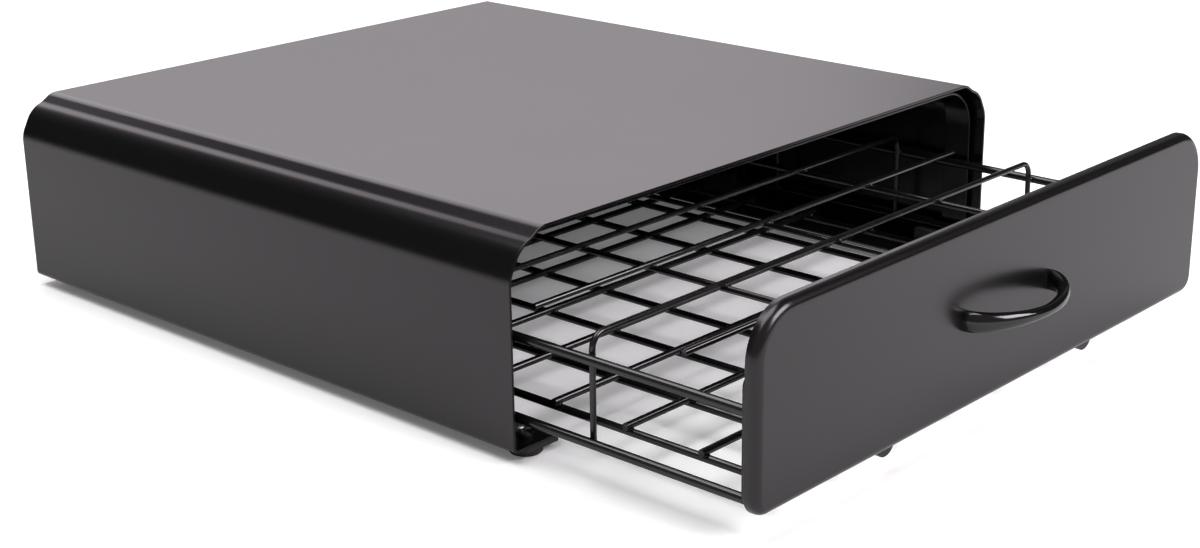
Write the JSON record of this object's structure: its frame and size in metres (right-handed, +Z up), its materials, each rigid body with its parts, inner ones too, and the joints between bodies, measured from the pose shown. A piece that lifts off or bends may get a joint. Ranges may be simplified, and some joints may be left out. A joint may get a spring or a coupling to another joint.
{
  "type": "coffee pod drawer",
  "caption": "Low bent-steel housing with rounded upper corners and a sliding welded wire drawer for coffee pods; a coffee machine stands on its flat top.",
  "frame": {"origin": "on the table, in the middle of the part's outline as stored, with the drawer part way out", "axes": "+Y from the drawer's handle to the housing's back, +Z up, +X to the right of someone facing the handle"},
  "size_m": [0.335, 0.4736, 0.095],
  "materials": {
    "painted_steel": "semi-gloss black powder coat",
    "coated_wire": "gloss black coating",
    "handle_gloss": "gloss black",
    "rubber": "matt",
    "nylon": "satin",
    "zinc": "zinc plated"
  },
  "bodies": {
    "housing": {"housing_shell": "painted_steel", "back_panel": "painted_steel", "opening_frame": "painted_steel", "front_glide_left": "nylon", "front_glide_right": "nylon", "foot_front_left": "rubber", "foot_front_right": "rubber", "foot_rear_left": "rubber", "foot_rear_right": "rubber", "foot_screws": "zinc", "foot_nuts": "painted_steel", "glide_rivets": "zinc"},
    "drawer": {"front_panel": "painted_steel", "panel_back_plate": "painted_steel", "handle": "handle_gloss", "handle_screws": "zinc", "strip_outer_left": "painted_steel", "strip_outer_right": "painted_steel", "strip_inner_left": "painted_steel", "strip_inner_right": "painted_steel", "strip_screws": "zinc", "rim_rod": "coated_wire", "rim_crossbar": "coated_wire", "base_rod": "coated_wire", "base_crossbar": "coated_wire", "lane_1_rails": "coated_wire", "lane_2_rails": "coated_wire", "lane_3_rails": "coated_wire", "lane_4_rails": "coated_wire", "bottom_rungs": "coated_wire", "top_rungs": "coated_wire", "hoop_front": "coated_wire", "hoop_middle": "coated_wire", "hoop_rear": "coated_wire", "lane_divider_left": "coated_wire", "lane_divider_centre": "coated_wire", "lane_divider_right": "coated_wire", "rear_shoe_left": "nylon", "rear_shoe_right": "nylon"}
  },
  "joints": [
    {"name": "drawer_slide", "type": "slide", "parent": "housing", "child": "drawer", "axis": [0, -1, 0], "range_m": [-0.118, 0.1195]}
  ]
}
